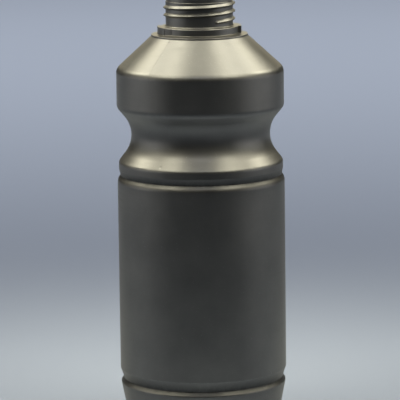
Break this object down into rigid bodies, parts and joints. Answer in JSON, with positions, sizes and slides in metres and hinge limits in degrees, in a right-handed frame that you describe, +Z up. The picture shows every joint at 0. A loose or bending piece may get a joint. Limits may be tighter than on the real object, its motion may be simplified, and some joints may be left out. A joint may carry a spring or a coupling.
{
  "type": "antifreeze bottle",
  "caption": "Round blow-moulded plastic bottle with a narrowed grip, a conical shoulder, ring grooves and an open screw neck above a lugged collar, for storing and pouring coolant.",
  "frame": {"origin": "middle of the ring that the bottle stands on, at floor level", "axes": "+Z up along the bottle's axis, -Y towards the side that the picture shows"},
  "size_m": [0.088, 0.088, 0.2271],
  "materials": {
    "grey_plastic": "satin dark grey"
  },
  "bodies": {
    "root": {"bottle": "grey_plastic"}
  },
  "joints": []
}
